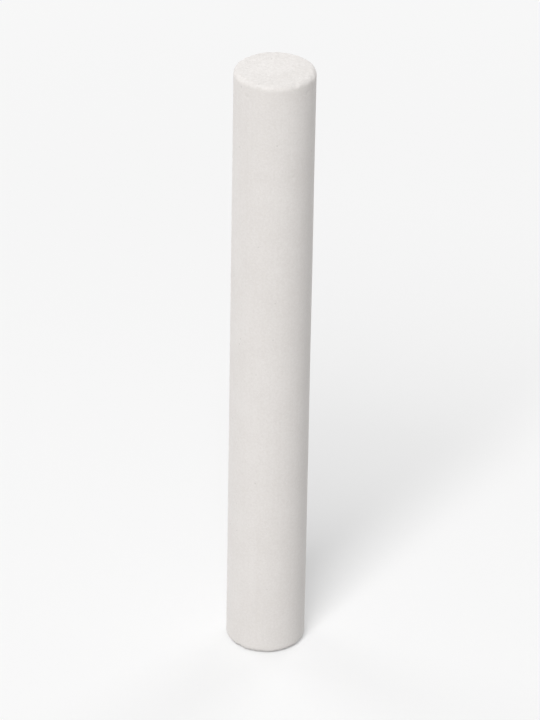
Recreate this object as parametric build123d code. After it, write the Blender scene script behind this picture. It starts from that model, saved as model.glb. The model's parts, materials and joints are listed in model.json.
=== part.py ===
from build123d import *

import os

# A straight round stick of writing chalk, standing on one flat end.
# The origin is the centre of the lower end face, and +Z runs along the stick.

# Driving dimensions, in millimetres
stick_length = 80.0  # from end face to end face
stick_diameter = 10.0  # the same all the way along, with no taper
end_edge_radius = 0.6  # the soft rim between each flat end and the round side


def half_section():
    """Half of the lengthwise section, from the stick's axis out to its side."""
    with BuildSketch(Plane.XZ) as section:
        Rectangle(stick_diameter / 2, stick_length, align=(Align.MIN, Align.MIN))
        rim_corners = section.vertices().group_by(Axis.X)[-1]
        fillet(rim_corners, radius=end_edge_radius)
    return section.sketch


def chalk_stick():
    """The whole stick, which is one piece: its half section turned once round its axis."""
    with BuildPart() as stick:
        revolve(half_section(), axis=Axis.Z, revolution_arc=360)
    return stick.part


os.makedirs("parts", exist_ok=True)
export_step(chalk_stick(), "parts/chalk_stick.step")
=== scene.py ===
# %% [markdown]
# # A stick of white chalk
# The object is one stick of white writing chalk, 80 mm long and 10 mm across, standing on its end.
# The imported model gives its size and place. This lesson makes the visible stick from it: a finer mesh
# with the small unevenness of a pressed and cut stick, a chalk finish, and a plain pale studio.
# Everything is in metres and in the model's own frame, so the new stick needs no fitting.

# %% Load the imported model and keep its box
import json
import math
import random

import bmesh
import bpy
from mathutils import Matrix, Vector, kdtree, noise


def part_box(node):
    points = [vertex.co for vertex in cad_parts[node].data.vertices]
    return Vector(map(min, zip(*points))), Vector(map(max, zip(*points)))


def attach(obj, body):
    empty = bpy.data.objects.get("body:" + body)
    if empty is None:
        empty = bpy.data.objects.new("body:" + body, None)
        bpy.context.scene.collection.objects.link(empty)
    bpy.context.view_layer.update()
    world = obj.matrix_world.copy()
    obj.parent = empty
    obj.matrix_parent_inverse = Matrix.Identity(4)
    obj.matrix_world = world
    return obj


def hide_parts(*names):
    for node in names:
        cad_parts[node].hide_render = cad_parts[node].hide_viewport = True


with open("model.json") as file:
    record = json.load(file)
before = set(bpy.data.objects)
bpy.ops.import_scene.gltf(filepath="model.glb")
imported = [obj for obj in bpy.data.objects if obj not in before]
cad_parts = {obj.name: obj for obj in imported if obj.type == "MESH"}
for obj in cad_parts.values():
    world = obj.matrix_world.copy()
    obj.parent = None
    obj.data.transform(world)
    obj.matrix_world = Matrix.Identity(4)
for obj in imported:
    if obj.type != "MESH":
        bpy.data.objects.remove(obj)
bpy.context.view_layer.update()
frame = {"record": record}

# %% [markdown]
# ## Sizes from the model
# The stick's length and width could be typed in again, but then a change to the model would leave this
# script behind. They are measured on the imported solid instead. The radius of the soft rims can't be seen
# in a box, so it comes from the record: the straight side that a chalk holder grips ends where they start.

MM = 0.001

low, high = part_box("chalk_stick")
stick_length = high.z - low.z
stick_radius = (high.x - low.x) / 2
grip = next(mount for mount in frame["record"]["mounts"] if mount["name"] == "grip")
rim_radius = (stick_length - grip["dims"]["length_mm"] * MM) / 2
print(f"stick {stick_length / MM:.1f} mm long, {2 * stick_radius / MM:.1f} mm across, "
      f"rim radius {rim_radius / MM:.2f} mm")

# %% [markdown]
# ## The turned form
# A pressed stick is round, so half of its outline says everything about its form. The outline needs four
# points: the middle of each end, and the two corners between end and side. A cylinder primitive with a
# bevel modifier would give the same silhouette, but its long faces can't hold any surface detail.
# Here the two corners are bevelled while the outline is still a wire, the straight runs are divided into
# short steps, and a full spin then gives small, nearly square faces all over.

# %% Draw the half outline
around = 192
step = 0.18 * MM
rim_steps = 6
merge_distance = step / 1000


def half_outline(bm):
    """A wire from the middle of the lower end, out, up the side and back in, with rounded corners."""
    places = ((0, 0), (stick_radius, 0), (stick_radius, stick_length), (0, stick_length))
    corners = [bm.verts.new((x, 0, z)) for x, z in places]
    for pair in zip(corners, corners[1:]):
        bm.edges.new(pair)
    bmesh.ops.bevel(bm, geom=corners[1:3], offset=rim_radius, segments=rim_steps, profile=0.5,
                    affect="VERTICES", material=-1)


def divide_runs(bm):
    """Cuts each straight run of the wire into steps, so that the spin gives small faces."""
    for run in [edge for edge in bm.edges if edge.calc_length() > 2 * step]:
        cuts = round(run.calc_length() / step) - 1
        bmesh.ops.subdivide_edges(bm, edges=[run], cuts=cuts)


# %% Spin it once round
def turned_stick():
    """The smooth stick as one closed mesh."""
    bm = bmesh.new()
    half_outline(bm)
    divide_runs(bm)
    bmesh.ops.spin(bm, geom=bm.verts[:] + bm.edges[:], cent=(0, 0, 0), axis=(0, 0, 1), dvec=(0, 0, 0),
                   angle=2 * math.pi, steps=around, use_merge=True, use_duplicate=False)
    bmesh.ops.remove_doubles(bm, verts=bm.verts, dist=merge_distance)
    bmesh.ops.recalc_face_normals(bm, faces=bm.faces)
    for face in bm.faces:
        face.smooth = True
    return bm


stick_bm = turned_stick()
triangles = sum(len(face.verts) - 2 for face in stick_bm.faces)
print(f"turned: {len(stick_bm.verts)} vertices, {triangles} triangles, "
      f"{sum(not edge.is_manifold for edge in stick_bm.edges)} open edges")

# %% [markdown]
# ## Laying the surface flat
# When the finish is baked to images, every face needs a place of its own in a square. Blender can find
# such places by itself, but it would break the small rims into splinters. The surface of a stick is easy
# to lay flat, before anything is dented: the side unrolls evenly, and each end is a disc whose
# rim is pressed out flat. The side is cut at half height, so that two squat strips lie side by side and
# fill the square better than one long one. The discs lie below them.

# %% Places in the square
margin = 0.006
strip_foot = 0.26
strip_width = 0.5 - 2 * margin
strip_height = 1 - strip_foot - 2 * margin
disc_reach = strip_foot / 2 - margin
left_centre, right_centre = 0.25, 0.75
flat_radius = stick_radius - rim_radius
end_reach = flat_radius + rim_radius * math.pi / 2
half_side = stick_length / 2 - rim_radius


def on_strip(place, turn, upper):
    """Where a point of the side lies, in the left strip for the lower half or the right for the upper."""
    left = 0.5 if upper else 0.0
    start = stick_length / 2 if upper else rim_radius
    across = 0.5 + turn / (2 * math.pi)
    up = (place.z - start) / half_side
    return left + margin + across * strip_width, strip_foot + margin + up * strip_height


def on_disc(place, turn, upper):
    """Where a point of an end or its rim lies, in the disc on the left or on the right."""
    reach = math.hypot(place.x, place.y)
    over_rim = math.asin(min(max(reach - flat_radius, 0) / rim_radius, 1))
    size = disc_reach * (min(reach, flat_radius) + rim_radius * over_rim) / end_reach
    centre = right_centre if upper else left_centre
    facing = 1 if upper else -1
    return centre + size * math.cos(turn), strip_foot / 2 + facing * size * math.sin(turn)


# %% Lay every face flat
def lay_flat(bm):
    """Gives each corner of each face its place in the square, and returns how many faces are on the ends."""
    layer = bm.loops.layers.uv.new("OFBake")
    end_faces = 0
    for face in bm.faces:
        centre = face.calc_center_median()
        centre_turn = math.atan2(centre.y, centre.x)
        upper = centre.z > stick_length / 2
        on_end = min(centre.z, stick_length - centre.z) < rim_radius
        end_faces += on_end
        lay = on_disc if on_end else on_strip
        for corner in face.loops:
            place = corner.vert.co
            away = math.atan2(place.y, place.x) - centre_turn
            turn = centre_turn + math.remainder(away, 2 * math.pi)
            corner[layer].uv = lay(place, turn, upper)
    return end_faces


print(f"laid flat: {lay_flat(stick_bm)} faces of {len(stick_bm.faces)} are on the ends")

# %% [markdown]
# ## The unevenness of a pressed stick
# A real stick is never a perfect cylinder. It swells and shrinks by hundredths of a millimetre as it
# dries, the die leaves faint lines along it, and the ends are a little grainy where it was cut. Bump in a
# material can fake the finest of this, but not what shows on the outline, so the larger unevenness is
# real: every vertex moves inwards, along its normal, by a few smooth noises added together. They only
# ever sink the surface, so the stick never grows past its true size.

# %% Smooth noises
swell_depth, swell_size = 0.05 * MM, 14 * MM
line_depth, line_size, line_length = 0.018 * MM, 0.9 * MM, 60 * MM
grain_depth, grain_size = 0.07 * MM, 0.55 * MM
rim_depth, rim_size = 0.12 * MM, 1.0 * MM
rim_shift = Vector((7, 3, 5))  # takes the rim's noise from another place than the others
noise_gain = 0.6  # the noise seldom comes near its limits, so this spreads it over the whole range


def share(point):
    """A smooth noise of a place, from 0 to 1."""
    return min(max(0.5 + noise_gain * noise.noise(point), 0.0), 1.0)


# %% Streaks across the ends
drag_depth, drag_size, drag_length = 0.05 * MM, 0.6 * MM, 9 * MM
drag_turns = {-1: math.radians(20), 1: math.radians(65)}
drag_apart = 9  # keeps the two ends from having like streaks


def drag_marks(place, normal):
    """The streaks that the cutting wire leaves across an end, in its own direction at each end."""
    turn = drag_turns[1 if normal.z > 0 else -1]
    along = place.x * math.cos(turn) + place.y * math.sin(turn)
    across = place.y * math.cos(turn) - place.x * math.sin(turn)
    return drag_depth * share(Vector((across / drag_size, along / drag_length, drag_apart * normal.z)))


# %% Sink the surface
def sink_depth(place, normal):
    """How far the surface lies under the plain stick at a place."""
    on_end = abs(normal.z)
    on_side = 1 - on_end
    on_rim = 4 * on_side * on_end  # 1 halfway round the rim, 0 on the side and the flat end
    swell = swell_depth * share(place / swell_size)
    lines = line_depth * share(Vector((place.x / line_size, place.y / line_size, place.z / line_length)))
    grain = grain_depth * share(place / grain_size) + drag_marks(place, normal)
    rim = rim_depth * share(place / rim_size + rim_shift)
    return swell + on_side * lines + on_end * grain + on_rim * rim


def roughen(bm):
    """Moves every vertex inwards by its own depth, and returns the deepest move."""
    bm.normal_update()
    moves = [(vertex, -vertex.normal * sink_depth(vertex.co, vertex.normal)) for vertex in bm.verts]
    for vertex, move in moves:
        vertex.co += move
    return max(move.length for _, move in moves)


print(f"deepest unevenness {roughen(stick_bm) / MM:.3f} mm")

# %% [markdown]
# ## Pinholes and crumbs
# The paste traps small bubbles, which leave a few shallow pinholes in the side, and the rim sheds a crumb
# here and there when the stick is cut. Cutting each one out with a boolean would leave sharp edges and
# long faces. Each is a soft round dent instead, pressed into the vertices that are there. A search tree
# finds the vertices near each dent, so nothing has to run through the whole mesh again and again.

# %% Scatter the dents
pinholes, crumbs = 26, 16
pinhole_reaches, pinhole_depths = (0.22, 0.42), (0.03, 0.07)  # least and most, in mm
crumb_reaches, crumb_depths = (0.3, 0.7), (0.04, 0.12)
crumb_inset = 0.25 * rim_radius
chance = random.Random(80)


def pinhole():
    """Place, reach and depth of one pinhole in the side."""
    turn = chance.uniform(0, 2 * math.pi)
    height = chance.uniform(2 * rim_radius, stick_length - 2 * rim_radius)
    place = Vector((stick_radius * math.cos(turn), stick_radius * math.sin(turn), height))
    return place, chance.uniform(*pinhole_reaches) * MM, chance.uniform(*pinhole_depths) * MM


def crumb():
    """Place, reach and depth of one lost crumb at a rim."""
    turn = chance.uniform(0, 2 * math.pi)
    inner = stick_radius - crumb_inset
    height = chance.choice((crumb_inset, stick_length - crumb_inset))
    place = Vector((inner * math.cos(turn), inner * math.sin(turn), height))
    return place, chance.uniform(*crumb_reaches) * MM, chance.uniform(*crumb_depths) * MM


dents = [pinhole() for _ in range(pinholes)] + [crumb() for _ in range(crumbs)]
print(f"{len(dents)} dents, the deepest {max(depth for _, _, depth in dents) / MM:.2f} mm")


# %% Press the dents
def vertex_tree(bm):
    """A search tree of the vertices, by place."""
    tree = kdtree.KDTree(len(bm.verts))
    for index, vertex in enumerate(bm.verts):
        tree.insert(vertex.co, index)
    tree.balance()
    return tree


def press_dents(bm):
    """Presses each dent into the mesh, deepest in its middle, and returns how many vertices moved."""
    tree = vertex_tree(bm)
    bm.verts.ensure_lookup_table()
    bm.normal_update()
    moved = 0
    for place, reach, depth in dents:
        for _, index, distance in tree.find_range(place, reach):
            vertex = bm.verts[index]
            fall = (1 - (distance / reach) ** 2) ** 2
            vertex.co -= vertex.normal * depth * fall
            moved += 1
    return moved


print(f"the dents moved {press_dents(stick_bm)} vertices")

# %% [markdown]
# ## A piece of the model
# The mesh becomes an object that sits at the origin, unturned, with its place in its vertices. Two
# lines tie it to the imported model: the body that it moves with, and the plain solid that it stands for,
# which is hidden from here on.

# %% Make it a piece of the model
stick_mesh = bpy.data.meshes.new("stick")
stick_bm.to_mesh(stick_mesh)
stick_bm.free()
stick = bpy.data.objects.new("stick", stick_mesh)
bpy.context.scene.collection.objects.link(stick)
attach(stick, "root")
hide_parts("chalk_stick")
print("piece", stick.name, "with", len(stick_mesh.polygons), "faces")

# %% [markdown]
# ## The chalk finish
# Chalk is a warm white, fully matte powder. The side of this stick carries a thin clear film that keeps
# dust off the fingers, so it has a faint satin sheen, and the film stops where the ends were cut. Two
# materials would meet in a hard line between faces. One material can hold both, with a mask that tells
# side from end. All patterns read Object coordinates, in metres, so they stay in place at their true
# size. A few helpers keep the node code as short as the thought behind it.

# %% Small helpers for nodes
def add_node(tree, kind, **settings):
    """A node of that kind, with properties set by name."""
    node = tree.nodes.new(kind)
    for name, value in settings.items():
        setattr(node, name, value)
    return node


def fill(tree, socket, value):
    """Links a socket to another node's output, or sets it to a plain value."""
    if isinstance(value, bpy.types.NodeSocket):
        tree.links.new(value, socket)
    else:
        socket.default_value = value


def feed(tree, node, **inputs):
    """Fills the inputs of a node by name. An underscore in a name stands for a space."""
    for name, value in inputs.items():
        fill(tree, node.inputs[name.replace("_", " ")], value)
    return node


def maths(tree, operation, *values):
    """The output of a Math node."""
    node = add_node(tree, "ShaderNodeMath", operation=operation)
    for socket, value in zip(node.inputs, values):
        fill(tree, socket, value)
    return node.outputs[0]


def weighted(tree, values, weights):
    """The sum of the values that the weights name, each times its weight."""
    products = [maths(tree, "MULTIPLY", values[name], weight) for name, weight in weights.items()]
    total = products[0]
    for product in products[1:]:
        total = maths(tree, "ADD", total, product)
    return total


# %% Helpers for patterns
def ramp(tree, value, start, end, low_value=0.0, high_value=1.0):
    """value mapped smoothly from start and end to two new values."""
    node = add_node(tree, "ShaderNodeMapRange", interpolation_type="SMOOTHSTEP")
    feed(tree, node, Value=value, From_Min=start, From_Max=end, To_Min=low_value, To_Max=high_value)
    return node.outputs["Result"]


def noise_of(tree, place, size, detail=2.0, roughness=0.5, distortion=0.0):
    """A noise whose blobs are about size metres wide, from 0 to 1."""
    node = add_node(tree, "ShaderNodeTexNoise")
    feed(tree, node, Vector=place, Scale=1 / size, Detail=detail, Roughness=roughness, Distortion=distortion)
    return node.outputs["Fac"]


def mixed_colours(tree, share_value, first, second):
    """Two colours mixed by a share."""
    node = add_node(tree, "ShaderNodeMix", data_type="RGBA")
    for index, value in ((0, share_value), (6, first), (7, second)):
        fill(tree, node.inputs[index], value)
    return node.outputs[2]


def mixed_numbers(tree, share_value, first, second):
    """Two numbers mixed by a share."""
    node = add_node(tree, "ShaderNodeMix", data_type="FLOAT")
    for index, value in ((0, share_value), (2, first), (3, second)):
        fill(tree, node.inputs[index], value)
    return node.outputs[0]


# %% [markdown]
# ## Where the film ends
# The film stops partway round the rims, and its edge there isn't a clean line. The mask is the distance
# from the nearer end, which is simply the height or what is left of it, made uneven by a noise before a
# ramp turns it into 0 and 1. A painted mask would do too, but it would be tied to the mesh.

# %% Tell the coated side from the cut ends
film_start, film_full = 0.30 * MM, 0.65 * MM
wander_size, wander_reach = 0.7 * MM, 0.5 * MM


def film_mask(tree, place):
    """1 on the coated side and 0 on the cut ends, with an uneven edge on the rim."""
    parts = feed(tree, add_node(tree, "ShaderNodeSeparateXYZ"), Vector=place)
    height = parts.outputs["Z"]
    from_end = maths(tree, "MINIMUM", height, maths(tree, "SUBTRACT", stick_length, height))
    uneven = maths(tree, "SUBTRACT", noise_of(tree, place, wander_size), 0.5)
    wander = maths(tree, "MULTIPLY", uneven, wander_reach)
    return ramp(tree, maths(tree, "ADD", from_end, wander), film_start, film_full)


# %% [markdown]
# ## The patterns in the chalk
# Close up, the paste shows fine grain, slightly duller clouds some millimetres wide, faint lines where it
# slid through the die, a few tiny grey specks, and crumbly, open pores in the cut ends. Noises make most
# of them, and the lines are one of those, stretched along the stick. A Voronoi texture makes the dots:
# each of its cells has a middle and a random colour, which decides whether that cell holds a dot at all.

# %% Grain, clouds, lines and dots
fine_grain, rough_grain, cloud_size = 0.28 * MM, 0.32 * MM, 6 * MM
streak_size, streak_squeeze = 0.45 * MM, 0.012
pore_spacing, pore_reach, pore_share = 0.8 * MM, 0.16 * MM, 0.5
speck_spacing, speck_reach, speck_share = 1.7 * MM, 0.15 * MM, 0.35
dot_core = 0.4  # the share of a dot's reach inside which it is full


def dots(tree, place, spacing, reach, kept):
    """Small scattered round dots: 1 in a dot and 0 outside. kept is the share of the cells that hold one."""
    cells = feed(tree, add_node(tree, "ShaderNodeTexVoronoi"), Vector=place, Scale=1 / spacing)
    parts = feed(tree, add_node(tree, "ShaderNodeSeparateColor"), Color=cells.outputs["Color"])
    holds = maths(tree, "LESS_THAN", parts.outputs["Red"], kept)
    near = ramp(tree, cells.outputs["Distance"], reach / spacing, dot_core * reach / spacing)
    return maths(tree, "MULTIPLY", near, holds)


def chalk_patterns(tree, place):
    """The patterns that colour, sheen and relief share, by name."""
    along = feed(tree, add_node(tree, "ShaderNodeMapping"), Vector=place, Scale=(1, 1, streak_squeeze))
    return {
        "lines": noise_of(tree, along.outputs["Vector"], streak_size, detail=3),
        "clouds": noise_of(tree, place, cloud_size, detail=3),
        "grain": noise_of(tree, place, fine_grain, detail=3, roughness=0.65, distortion=0.6),
        "crumbly": noise_of(tree, place, rough_grain, detail=4, roughness=0.7),
        "pores": dots(tree, place, pore_spacing, pore_reach, pore_share),
        "specks": dots(tree, place, speck_spacing, speck_reach, speck_share),
    }


# %% [markdown]
# ## Colour, sheen and relief
# The colour runs between a duller and a paler white, a pair for the coated side and a slightly paler pair
# for the bare ends. The sheen is satin on the film and nearly dead matte on the bare chalk. The relief is
# a bump, because it is finer than the mesh: coarse on the cut ends, and almost nothing on the side.

# %% Colour
coated_dull, coated_pale = (0.734, 0.703, 0.678, 1.0), (0.788, 0.761, 0.740, 1.0)
raw_dull, raw_pale = (0.743, 0.717, 0.695, 1.0), (0.831, 0.808, 0.791, 1.0)
speck_grey, speck_strength = (0.50, 0.485, 0.460, 1.0), 0.4
tone_weights = {"clouds": 0.30, "grain": 0.58, "lines": 0.12}
tone_low, tone_high = 0.35, 0.65


def chalk_colour(tree, film, patterns):
    """Warm white that varies a little with clouds, grain and lines, with a few faint specks."""
    tone = ramp(tree, weighted(tree, patterns, tone_weights), tone_low, tone_high)
    coated = mixed_colours(tree, tone, coated_dull, coated_pale)
    raw = mixed_colours(tree, tone, raw_dull, raw_pale)
    body = mixed_colours(tree, film, raw, coated)
    specks = maths(tree, "MULTIPLY", patterns["specks"], speck_strength)
    return mixed_colours(tree, specks, body, speck_grey)


# %% Sheen and relief
satin, satin_spread, bare_roughness = 0.50, 0.16, 0.95
film_coat = 0.18
relief_height = 0.02 * MM
bare_relief = {"crumbly": 3.2, "pores": -1.4}  # in multiples of relief_height
side_relief = {"grain": 0.8, "lines": 0.7, "specks": -0.5}


def chalk_roughness(tree, film, patterns):
    """Satin on the film, a little uneven along the die's lines, and matte on the bare ends."""
    coated = maths(tree, "ADD", satin, maths(tree, "MULTIPLY", patterns["lines"], satin_spread))
    return mixed_numbers(tree, film, bare_roughness, coated)


def chalk_relief(tree, film, patterns):
    """The normal of the fine relief."""
    bare = weighted(tree, patterns, bare_relief)
    side = weighted(tree, patterns, side_relief)
    bump = add_node(tree, "ShaderNodeBump")
    feed(tree, bump, Strength=1.0, Distance=relief_height, Height=mixed_numbers(tree, film, bare, side))
    return bump.outputs["Normal"]


# %% Mix the chalk
def chalk_material():
    """Warm matte chalk with a thin satin film on its side."""
    material = bpy.data.materials.new("chalk")
    material.use_nodes = True
    tree = material.node_tree
    shader = tree.nodes["Principled BSDF"]
    place = add_node(tree, "ShaderNodeTexCoord").outputs["Object"]
    film = film_mask(tree, place)
    patterns = chalk_patterns(tree, place)
    feed(tree, shader, Base_Color=chalk_colour(tree, film, patterns),
         Roughness=chalk_roughness(tree, film, patterns),
         Normal=chalk_relief(tree, film, patterns),
         Coat_Weight=maths(tree, "MULTIPLY", film, film_coat))
    feed(tree, shader, Coat_Roughness=0.4, Specular_IOR_Level=0.35, Diffuse_Roughness=0.25)
    return material


stick_mesh.materials.append(chalk_material())
print(f"chalk finish: {len(stick_mesh.materials[0].node_tree.nodes)} nodes")

# %% [markdown]
# ## The studio
# The stick stands on a seamless white sheet, which has to end somewhere without showing an edge. One
# way is a curved backdrop. Here the floor is a flat disc, and its material does the work instead: near
# the stick it is a real sheet that takes the shadow, and further out it turns into the plain tone of
# the background, so floor and world meet unseen. Only the camera and the film's sheen see that white.
# The light that the floor throws back at the stick comes from a darker sheet, or the chalk would lose
# its shading.

# %% The floor's material
background = (0.955, 0.955, 0.955, 1.0)
sheet_start, sheet_end = 0.10, 0.28
sheet_share = 0.70
seen_white, thrown_grey = (0.90, 0.90, 0.90, 1.0), (0.52, 0.52, 0.52, 1.0)


def mixed_shaders(tree, share_value, first, second):
    """Two shaders mixed by a share."""
    node = add_node(tree, "ShaderNodeMixShader")
    for socket, value in zip(node.inputs, (share_value, first, second)):
        fill(tree, socket, value)
    return node.outputs[0]


def seen_rays(tree):
    """1 for the rays that show the background, straight to the camera or by way of a sheen or glass."""
    rays = add_node(tree, "ShaderNodeLightPath").outputs
    straight_or_sheen = maths(tree, "MAXIMUM", rays["Is Camera Ray"], rays["Is Glossy Ray"])
    return maths(tree, "MAXIMUM", straight_or_sheen, rays["Is Transmission Ray"])


def floor_material():
    """A pale sheet that keeps the shadow near the stick and runs into the background further out."""
    material = bpy.data.materials.new("floor")
    material.use_nodes = True
    tree = material.node_tree
    tree.nodes.clear()
    place = add_node(tree, "ShaderNodeTexCoord").outputs["Object"]
    distance = feed(tree, add_node(tree, "ShaderNodeVectorMath", operation="LENGTH"), Vector=place)
    near = ramp(tree, distance.outputs["Value"], sheet_start, sheet_end, sheet_share, 0.0)
    thrown = feed(tree, add_node(tree, "ShaderNodeBsdfDiffuse"), Color=thrown_grey)
    sheet = feed(tree, add_node(tree, "ShaderNodeBsdfDiffuse"), Color=seen_white)
    beyond = feed(tree, add_node(tree, "ShaderNodeEmission"), Color=background)
    seen = mixed_shaders(tree, near, beyond.outputs[0], sheet.outputs[0])
    surface = mixed_shaders(tree, seen_rays(tree), thrown.outputs[0], seen)
    feed(tree, add_node(tree, "ShaderNodeOutputMaterial"), Surface=surface)
    return material


# %% The floor
floor_radius = 3.0
floor_segments = 96

floor_bm = bmesh.new()
bmesh.ops.create_circle(floor_bm, cap_ends=True, cap_tris=False, segments=floor_segments, radius=floor_radius)
floor_mesh = bpy.data.meshes.new("floor")
floor_bm.to_mesh(floor_mesh)
floor_bm.free()
floor_mesh.materials.append(floor_material())
floor = bpy.data.objects.new("floor", floor_mesh)
bpy.context.scene.collection.objects.link(floor)
print(f"floor {2 * floor_radius:.0f} m across, a shadow shows up to {sheet_end / MM:.0f} mm from the stick")

# %% The room around it
room_strength = 0.30

world = bpy.data.worlds.new("studio")
bpy.context.scene.world = world
world.use_nodes = True
room = world.node_tree
room.nodes.clear()
light = feed(room, add_node(room, "ShaderNodeBackground"), Color=(1, 1, 1, 1), Strength=room_strength)
seen = feed(room, add_node(room, "ShaderNodeBackground"), Color=background, Strength=1.0)
surface = mixed_shaders(room, seen_rays(room), light.outputs[0], seen.outputs[0])
feed(room, add_node(room, "ShaderNodeOutputWorld"), Surface=surface)
print(f"the room lights the stick at {room_strength} and looks {background[0]} white")

# %% [markdown]
# ## The lamps
# Soft light from all round would turn a white stick into a flat strip. A large lamp high at the front
# left lights it from one side, and its light fades slowly round the stick, which is what shows that it
# is round. Two weaker lamps, low at the right and behind, keep the far side from turning grey, so that
# the chalk reads as white from wherever it is seen. All three are area lamps, because a sun or a point
# would draw a hard line down the stick.

# %% Place the lamps
lamp_distance = 3.6
middle = Vector((0, 0, stick_length / 2))


def direction(azimuth, elevation):
    """The unit vector from the stick towards a place at that azimuth and elevation, in degrees."""
    turn, rise = math.radians(azimuth), math.radians(elevation)
    return Vector((math.sin(turn) * math.cos(rise), -math.cos(turn) * math.cos(rise), math.sin(rise)))


def softbox(name, azimuth, elevation, size, power):
    """A square soft lamp that looks at the middle of the stick."""
    data = bpy.data.lights.new(name, "AREA")
    data.shape = "SQUARE"
    data.size = size
    data.energy = power
    lamp = bpy.data.objects.new(name, data)
    away = direction(azimuth, elevation)
    lamp.location = middle + away * lamp_distance
    lamp.rotation_mode = "QUATERNION"
    lamp.rotation_quaternion = (-away).to_track_quat("-Z", "Y")
    lamp.visible_camera = False
    bpy.context.scene.collection.objects.link(lamp)
    print(f"{name}: {power} W, {size} m wide, {lamp_distance} m away")


softbox("key_lamp", azimuth=-35, elevation=47, size=1.5, power=110)
softbox("right_lamp", azimuth=129, elevation=14, size=2.0, power=45)
softbox("back_lamp", azimuth=210, elevation=14, size=2.0, power=33)

# %% [markdown]
# ## The camera
# The camera looks down at the stick from the left front, rolled by one degree. Going close with a short
# lens would fill the frame too, but it would make the foot much narrower than the top. A long lens keeps
# the distance of a product photograph and still fills the frame with something as slender as this.

# %% Place the camera
view_azimuth, view_elevation, view_roll = -19.0, 29.5, 1.0
view_distance, lens = 0.58, 235.0


def place_camera():
    """The camera, aimed at the middle of the stick, with colours shown as they are."""
    data = bpy.data.cameras.new("camera")
    data.lens = lens
    camera = bpy.data.objects.new("camera", data)
    away = direction(view_azimuth, view_elevation)
    turn = (-away).to_track_quat("-Z", "Y").to_matrix().to_4x4()
    roll = Matrix.Rotation(math.radians(view_roll), 4, "Z")
    camera.matrix_world = Matrix.Translation(middle + away * view_distance) @ turn @ roll
    bpy.context.scene.collection.objects.link(camera)
    bpy.context.scene.camera = camera
    bpy.context.scene.view_settings.view_transform = "Standard"
    print(f"camera {view_distance} m away with a {lens:.0f} mm lens")


place_camera()
